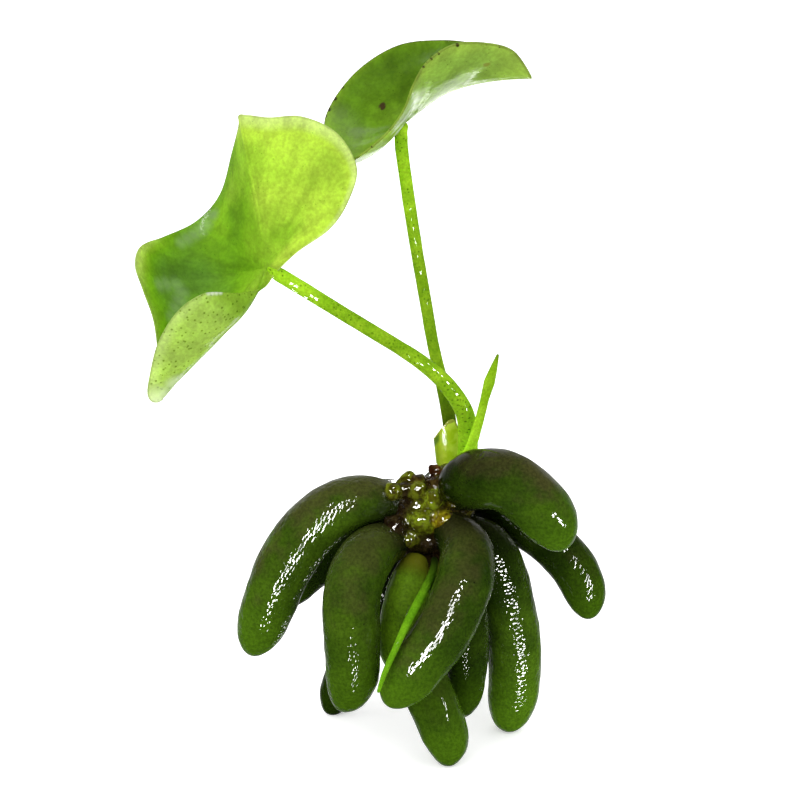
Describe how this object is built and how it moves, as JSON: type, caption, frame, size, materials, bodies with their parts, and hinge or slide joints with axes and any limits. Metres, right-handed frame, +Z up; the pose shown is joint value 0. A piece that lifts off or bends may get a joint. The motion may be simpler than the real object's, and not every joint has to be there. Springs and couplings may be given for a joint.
{
  "type": "banana lily",
  "caption": "Whole aquatic plant, as picked, with banana-shaped tubers hanging from a knobbly crown, two folded leaves on long stems and a young shoot.",
  "frame": {"origin": "centre of the plant's bounding box, on the surface that its tuber tips stand on", "axes": "+Z up, -Y the front, which the picture shows; +X to the right seen from the front"},
  "size_m": [0.0588, 0.0377, 0.094],
  "materials": {
    "crown": "wet, knobbly brown and yellow-green crown",
    "tuber_skin": "wet dark green skin with a fine pitted surface, lighter towards the tips",
    "young_tuber_skin": "wet mid-green skin",
    "leaf_bright": "thin, soft, partly see-through yellow-green blade with faint veins",
    "leaf_shaded": "thin, soft green blade with brown spots",
    "stem": "wet bright green stem with rows of dark dots",
    "young_leaf": "soft light green",
    "sheath": "thin, wet, partly see-through pale green",
    "root": "wet bright green"
  },
  "bodies": {
    "root": {"crown": "crown", "leaf_left": "leaf_bright", "leaf_right": "leaf_shaded", "sheath": "sheath", "stem_left": "stem", "stem_right": "stem", "thin_root": "root", "tuber_back_left": "tuber_skin", "tuber_back_right": "tuber_skin", "tuber_back_up_left": "tuber_skin", "tuber_back_up_right": "tuber_skin", "tuber_front": "tuber_skin", "tuber_front_left": "tuber_skin", "tuber_front_small": "young_tuber_skin", "tuber_inner": "tuber_skin", "tuber_left": "tuber_skin", "tuber_left_low": "tuber_skin", "tuber_left_rear": "tuber_skin", "tuber_lowest": "tuber_skin", "tuber_right_low": "tuber_skin", "tuber_right_rear": "tuber_skin", "tuber_right_top": "tuber_skin", "young_leaf": "young_leaf"}
  },
  "joints": []
}
